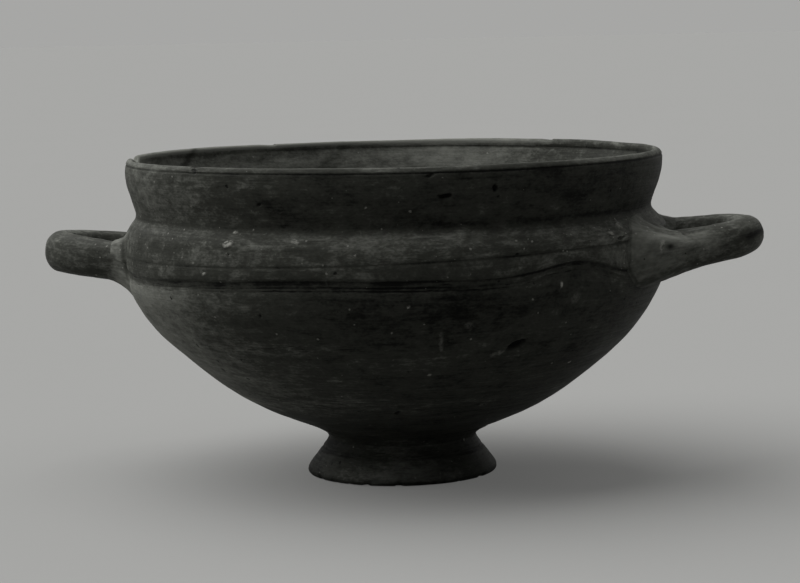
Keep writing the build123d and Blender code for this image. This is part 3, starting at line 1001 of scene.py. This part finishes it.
class CUP_OT_roll_handles(bpy.types.Operator):
    """Bends a divided cylinder into each loop handle, flattened and ridged as fingers leave it."""

    bl_idname = "cup.roll_handles"
    bl_label = "Roll Handles"

    def execute(self, context):
        finish = clay_finish("handle_slip", tone=0.10, stroke=0.8, rolled=True)
        for name, sizes in HANDLES.items():
            bpy.ops.mesh.primitive_cylinder_add(vertices=BAR_SIDES, radius=1, depth=2, end_fill_type="TRIFAN")
            piece = start_piece(f"rolled_{name}")
            upright = [
                abs(piece.data.vertices[edge.vertices[0]].co.z - piece.data.vertices[edge.vertices[1]].co.z) > 1
                for edge in piece.data.edges
            ]
            select_only(piece, "edges", upright)
            for cuts in BAR_CUTS:
                bpy.ops.mesh.subdivide(number_cuts=cuts)
            bpy.ops.object.mode_set(mode="OBJECT")
            self.bend(piece, Loop(sizes), context.scene.cup_shape)
            finish_piece(piece, [name], finish)
        return {"FINISHED"}

    def bend(self, piece, loop, shape):
        """Carries the cylinder's skin to the loop and paints its fields."""
        round_part = read_points(piece) * MM
        along = (round_part[:, 2] + 1) / 2 * loop.length
        angle = np.arctan2(round_part[:, 0], round_part[:, 1])
        share = np.hypot(round_part[:, 0], round_part[:, 1])
        points = loop.skin(along, angle, loop.unevenness(along, angle, shape.handle_wobble / MM))
        centre, _ = loop.stations(along)
        points = np.where(share[:, None] > 0.5, points, centre)
        write_points(piece, np.clip(points, *CAD_BOX))
        tip = ramp(np.sin(math.pi * along / loop.length), 0.80, 1.0)
        degrees = np.degrees(angle)
        top = hump(degrees, 5, 40) + hump(degrees, -40, 16)
        worn = 0.05 + 0.05 * np.clip(top, 0, 1.2)
        rubbed = loop.sizes["front"]["pale"] * outer_face(degrees)
        worn += rubbed * (1 - ramp(along, 17, 30)) + 0.6 * rubbed * hump(along, 19, 6) * hump(degrees, 66, 24)
        # The outer face near the tip is made darker; the bar's underside gets painted shade.
        darkest = loop.sizes["tip_darkening"] * ramp(along / loop.length, 0.27, 0.40) * tip * hump(degrees, 85, 15)
        paint(
            piece, np.stack([along, np.cos(angle) * 6, np.sin(angle) * 6], 1), worn=worn,
            sooty=darkest + 0.25 * hump(np.abs(degrees), 160, 40), scored=0.1, limy=0.3, pitted=0.0,
        )


class CUP_OT_smear_lutes(bpy.types.Operator):
    """Draws a ring of clay round each root of both handles and smears it from the bar onto the wall."""

    bl_idname = "cup.smear_lutes"
    bl_label = "Smear Lutes"

    def execute(self, context):
        outside = np.array(section(BOWL_OUTSIDE))
        wall = outside[outside[:, 1] > 20]
        wobble = context.scene.cup_shape.handle_wobble / MM
        finish = clay_finish("lute_slip", tone=0.10, stroke=0.7, rolled=True)
        for name, sizes in HANDLES.items():
            loop = Loop(sizes)
            for place in ("front", "back"):
                bpy.ops.mesh.primitive_torus_add(
                    major_segments=LUTE_STEPS[0], minor_segments=LUTE_STEPS[1], major_radius=1, minor_radius=0.25
                )
                piece = start_piece(f"{name}_{place}_smear")
                self.smear(piece, Root(loop, place, wobble), wall)
                bpy.ops.object.mode_set(mode="EDIT")
                close_surface()
                finish_piece(piece, [f"{name}_{place}_lute"], finish)
        return {"FINISHED"}

    def smear(self, piece, root, wall):
        """Lays the ring's section between the wall and the bar, all round the root."""
        ring = read_points(piece) * MM
        angle = np.arctan2(ring[:, 0], ring[:, 1])
        turn = np.arctan2(ring[:, 2], np.hypot(ring[:, 0], ring[:, 1]) - 1) % math.tau / math.tau
        up, degrees = np.cos(angle), np.degrees(angle)
        sizes, seed = root.sizes, root.seed
        around = np.stack([up * 9, np.sin(angle) * 9, 0 * up], 1)
        spread = on_table(degrees, sizes["spread"], 8, period=360) * (1 + 0.10 * uneven(around, 5, seed))
        length = on_table(degrees, sizes["length"], 12, period=360) * (1 + 0.12 * uneven(around, 6, seed + 3))
        wide = ramp(spread, 7, 12)
        seam = sizes["seam"] * wide
        chord = sizes["straight"] * towards(angle, 122, 0.1, 0.65)
        run, lift = ring_section(turn, length, spread, seam, chord)
        facing = between(turn, 0.0, 0.06, 0.70, 0.8)
        collar = towards(angle, 35, 0.05, 0.5)
        lift += sizes["ring"] * collar * facing * between(run, 0.9, 1.9, 3.6, 5.2)

        start = root.on_wall(angle, np.maximum(lift, 0), wall) + run
        points = root.points(start, angle, lift)
        lumps = sizes["lumps"] * towards(angle, 10, 0.5, 0.9)
        rub = 0.14 * uneven(points, 4.0, seed + 5) + 0.10 * uneven(points, (2.2, 2.2, 7.0), seed + 6)
        rub += lumps * (uneven(points, 3.0, seed + 7) + 0.2)
        rub *= facing * ramp(lift, 0.05, 0.8)
        points = root.points(start + 0.7 * rub, angle, lift + 0.7 * rub)
        write_points(piece, np.clip(points, *CAD_BOX))

        ridge = hump(run, 2.8, 1.5) * collar * sizes["ring"]
        web = ramp(up, 0.75, 1.0) * between(run, 2.0, 3.5, 6.0, 8.5) * sizes["lumps"]
        beneath = sizes["pale_under"] * ramp(np.abs(degrees), 95, 120)
        pale = sizes["pale"] * outer_face(degrees) + beneath * (1 - ramp(run, 2.5, 7.0))
        line = between(spread - lift, -0.3, 0.1, 0.3, 0.9) * (seam > 0.12) * facing
        line *= between(degrees, 40, 62, 104, 122)
        beside_ring = hump(run, 0.8, 0.4) * collar * sizes["ring"] * ramp(np.sin(angle), 0.2, 0.7)
        seamed = sizes["seam"] > 0.2
        pit = 0.9 * hump(run, 7.6, 0.9) * hump(degrees, 76, 6) - 0.7 * hump(run, 5.9, 0.35) * hump(degrees, 74, 8)
        # The underside of a seamed lute gets painted shade.
        paint(
            piece, np.stack([run, up * 7, np.sin(angle) * 7], 1),
            worn=0.06 + 0.08 * np.maximum(up, 0) + 0.35 * ridge + 0.3 * web + pale,
            sooty=1.2 * line + 1.2 * beside_ring + 0.35 * np.maximum(-up, 0) * seamed,
            scored=0.1, limy=0.30 + 1.6 * sizes["lumps"] * np.maximum(up, 0), pitted=pit * seamed,
        )


def towards(angle, degrees, low, high):
    """1 on the side of a bar that faces this way, 0 on the side that faces away."""
    return ramp(np.cos(angle - math.radians(degrees)), low, high)


def outer_face(degrees):
    """1 on the side of a bar that faces out of the loop, fading above it and below it."""
    return between(degrees, 18, 50, 108, 132)


class Root:
    """One end of a loop, measured from there: the front end nearer the viewer, or the back end."""

    def __init__(self, loop, place, wobble):
        self.loop, self.wobble, self.front = loop, wobble, place == "front"
        self.sizes = {**PLAIN_LUTE, **loop.sizes[place]}
        self.seed = loop.sizes["seed"] + (0 if self.front else 20)

    def points(self, along, angle, lift):
        """Points at a height over the bar's uneven skin."""
        along = along if self.front else self.loop.length - along
        return self.loop.skin(along, angle, lift + self.loop.unevenness(along, angle, self.wobble))

    def on_wall(self, angle, lift, wall):
        """How far along the bar the wall's skin lies, for points at this height over the bar."""
        low, high = np.full(len(angle), -14.0), np.full(len(angle), 16.0)
        for _ in range(16):
            middle = (low + high) / 2
            along = middle if self.front else self.loop.length - middle
            points = self.loop.skin(along, angle, lift)
            points = 2 * points - leaned(points)
            gap = np.hypot(points[:, 0], points[:, 1]) - np.interp(points[:, 2], wall[:, 1], wall[:, 0])
            low, high = np.where(gap < 0, middle, low), np.where(gap < 0, high, middle)
        return (low + high) / 2


def ring_section(turn, length, spread, seam, chord):
    """A lute's section, once round: its way along the bar from the wall, and its height over the bar.

    It comes out of the wall with a small step, the seam, is hollow where chord is 0 and straight where it is 1,
    runs out thin on the bar and goes back through the clay.
    """
    share = np.clip(turn / FACE_SHARE, 0, 1)
    face = share * math.pi / 2
    run = seam + (length - seam) * (chord * share + (1 - chord) * (1 - np.cos(face)))
    run -= (0.15 + 1.5 * seam) * (1 - ramp(turn, 0.0, 0.03))
    lift = (spread + EDGE_DEPTH) * (chord * (1 - share) ** 1.25 + (1 - chord) * (1 - np.sin(face))) - EDGE_DEPTH
    back = (turn - FACE_SHARE) / (1 - FACE_SHARE)
    home = ramp(back, 0.5, 1)
    back_run = np.where(back < 0.5, length - (length + IN_WALL) * ramp(back, 0.0, 0.5), 1.35 * home - IN_WALL)
    back_lift = np.where(back < 0.5, -EDGE_DEPTH - (IN_BAR - EDGE_DEPTH) * ramp(back, 0.0, 0.25),
                         (spread + IN_BAR) * home - IN_BAR)
    return np.where(turn > FACE_SHARE, back_run, run), np.where(turn > FACE_SHARE, back_lift, lift)


# Stage


class CUP_OT_set_stage(bpy.types.Operator):
    """Lays the pale table, hangs the soft lamps and sets up the camera of the picture."""

    bl_idname = "cup.set_stage"
    bl_label = "Set Stage"

    def execute(self, context):
        stage = context.scene.cup_stage
        self.lay_table(stage)
        self.paint_room(stage)
        self.hang_lamps(stage)
        self.place_camera(context, stage)
        return {"FINISHED"}

    def lay_table(self, stage):
        """A large, faintly mottled table top, a little paler to the eye than the lamps make it."""
        bpy.ops.mesh.primitive_circle_add(vertices=96, radius=30, fill_type="NGON")
        table = start_piece("table_top")
        made = Finish("table_top")
        place = made.add("TexCoord", {}, "Object")
        grain = made.weigh(0.5, (made.noise(place, 5, 4), 0.05), (made.noise(place, 260, 3), 0.03))
        colour = made.blend(grain, with_alpha(stage.table_color, 0.8), with_alpha(stage.table_color, 1.2))
        made.set(Base_Color=colour, Roughness=1.0, Specular_IOR_Level=0.0)
        pale = made.calc("MULTIPLY", made.seen_directly(), TABLE_GLOW)
        made.set(Emission_Color=with_alpha(stage.backdrop_color), Emission_Strength=pale)
        table.data.materials.append(made.material)

    def paint_room(self, stage):
        """Weak light from all round, and a backdrop as pale as the lit table."""
        world = bpy.context.scene.world or bpy.data.worlds.new("room")
        bpy.context.scene.world = world
        room = Nodes(world)
        room.tree.nodes.clear()
        light = room.add("Background", {"Color": (1, 1, 1, 1), "Strength": stage.room_strength})
        backdrop = room.add("Background", {"Color": with_alpha(stage.backdrop_color)})
        mixed = room.add("MixShader", {0: room.seen_directly(), 1: light, 2: backdrop})
        room.join(mixed, room.tree.nodes.new("ShaderNodeOutputWorld").inputs["Surface"])

    def hang_lamps(self, stage):
        """Soft daylight from the left, broad light from above and a weak fill from the back right."""
        for name, azimuth, elevation, breadth, strength in LAMPS:
            facing = (math.radians(90 - elevation), 0, math.radians(azimuth))
            bpy.ops.object.light_add(type="SUN", location=(0, 0, 1), rotation=facing)
            lamp = bpy.context.object
            lamp.name = name
            lamp.data.angle = math.radians(breadth)
            lamp.data.energy = getattr(stage, strength)

    def place_camera(self, context, stage):
        """The picture's viewpoint, 0.8 m away and a little above the cup."""
        turn = Matrix.Rotation(stage.view_turn, 3, "Z")
        pitch = Matrix.Rotation(math.radians(90 - CAMERA_PITCH), 3, "X")
        facing = turn @ pitch @ Matrix.Rotation(math.radians(CAMERA_ROLL), 3, "Z")
        bpy.ops.object.camera_add(location=turn @ Vector(CAMERA_PLACE), rotation=facing.to_euler())
        camera = bpy.context.object
        camera.name = "picture_camera"
        camera.data.lens, camera.data.sensor_width = CAMERA_LENS, SENSOR_WIDTH
        camera.data.clip_start, camera.data.clip_end = 0.02, 100
        context.scene.camera = camera
        context.scene.view_settings.view_transform = "Standard"


class CUP_PT_panel(bpy.types.Panel):
    """Lists the steps in the order they are made."""

    bl_idname = "CUP_PT_panel"
    bl_label = "Two-Handled Cup"
    bl_space_type = "VIEW_3D"
    bl_region_type = "UI"
    bl_category = "Cup"

    def draw(self, context):
        for group in (context.scene.cup_shape, context.scene.cup_finish, context.scene.cup_stage):
            for name in group.__annotations__:
                self.layout.prop(group, name)
        for operator in OPERATORS:
            self.layout.operator(operator.bl_idname)


OPERATORS = (CUP_OT_set_stage, CUP_OT_throw_bowl, CUP_OT_throw_foot, CUP_OT_roll_handles, CUP_OT_smear_lutes)
CLASSES = (CupShape, CupFinish, CupStage, *OPERATORS, CUP_PT_panel)


def register():
    """Registers the classes and hangs the settings on the scene."""
    for cls in CLASSES:
        bpy.utils.register_class(cls)
    bpy.types.Scene.cup_shape = bpy.props.PointerProperty(type=CupShape)
    bpy.types.Scene.cup_finish = bpy.props.PointerProperty(type=CupFinish)
    bpy.types.Scene.cup_stage = bpy.props.PointerProperty(type=CupStage)


def unregister():
    """Takes the settings and classes away again."""
    for name in ("cup_shape", "cup_finish", "cup_stage"):
        delattr(bpy.types.Scene, name)
    for cls in reversed(CLASSES):
        bpy.utils.unregister_class(cls)


def main():
    """Makes the cup and its stage."""
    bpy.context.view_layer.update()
    register()
    bpy.ops.cup.set_stage()
    bpy.ops.cup.throw_bowl()
    bpy.ops.cup.throw_foot()
    bpy.ops.cup.roll_handles()
    bpy.ops.cup.smear_lutes()


if __name__ == "__main__":
    main()
